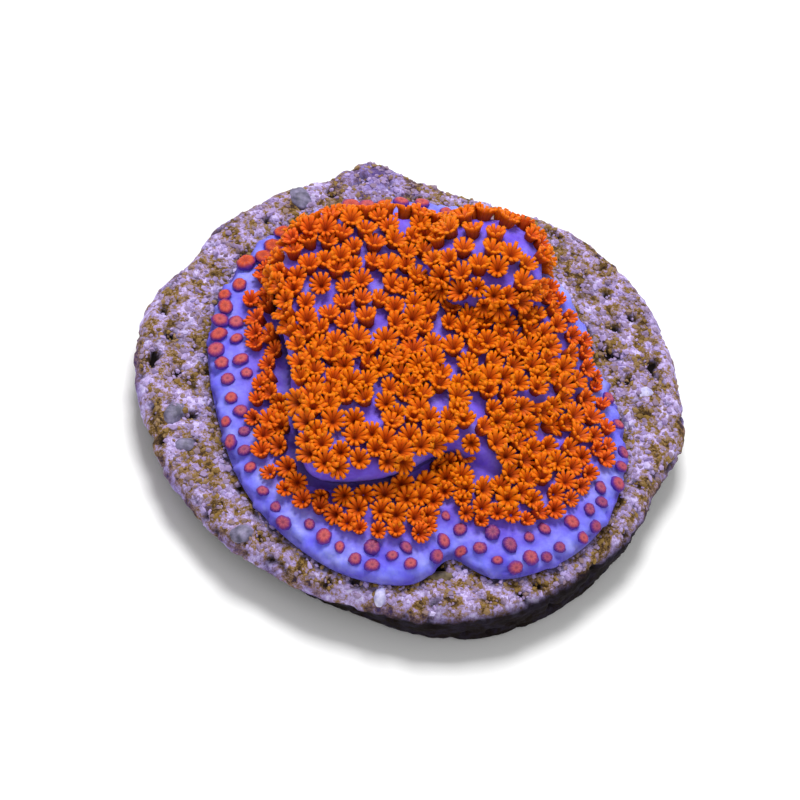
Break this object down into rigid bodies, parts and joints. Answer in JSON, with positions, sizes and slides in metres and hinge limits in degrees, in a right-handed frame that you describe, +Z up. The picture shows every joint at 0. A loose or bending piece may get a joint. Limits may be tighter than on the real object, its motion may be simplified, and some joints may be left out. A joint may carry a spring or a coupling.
{
  "type": "montipora coral",
  "caption": "Encrusting montipora coral frag with a raised tier, a knob and small flared polyps, grown on a round cast stone disc.",
  "frame": {"origin": "under the middle of the bounding box, on the surface the disc's flat base rests on", "axes": "+Z up through the disc, -Y towards the low front lip of the colony's upper tier"},
  "size_m": [0.0326, 0.0316, 0.0096],
  "materials": {
    "stone": "rough cast sand and cement, grains of lilac-white, ochre algae film and dark pits",
    "coral": "smooth moist blue-violet living tissue over a chalky skeleton, with orange polyps"
  },
  "bodies": {
    "root": {"frag_disc": "stone", "coral_colony": "coral"}
  },
  "joints": []
}
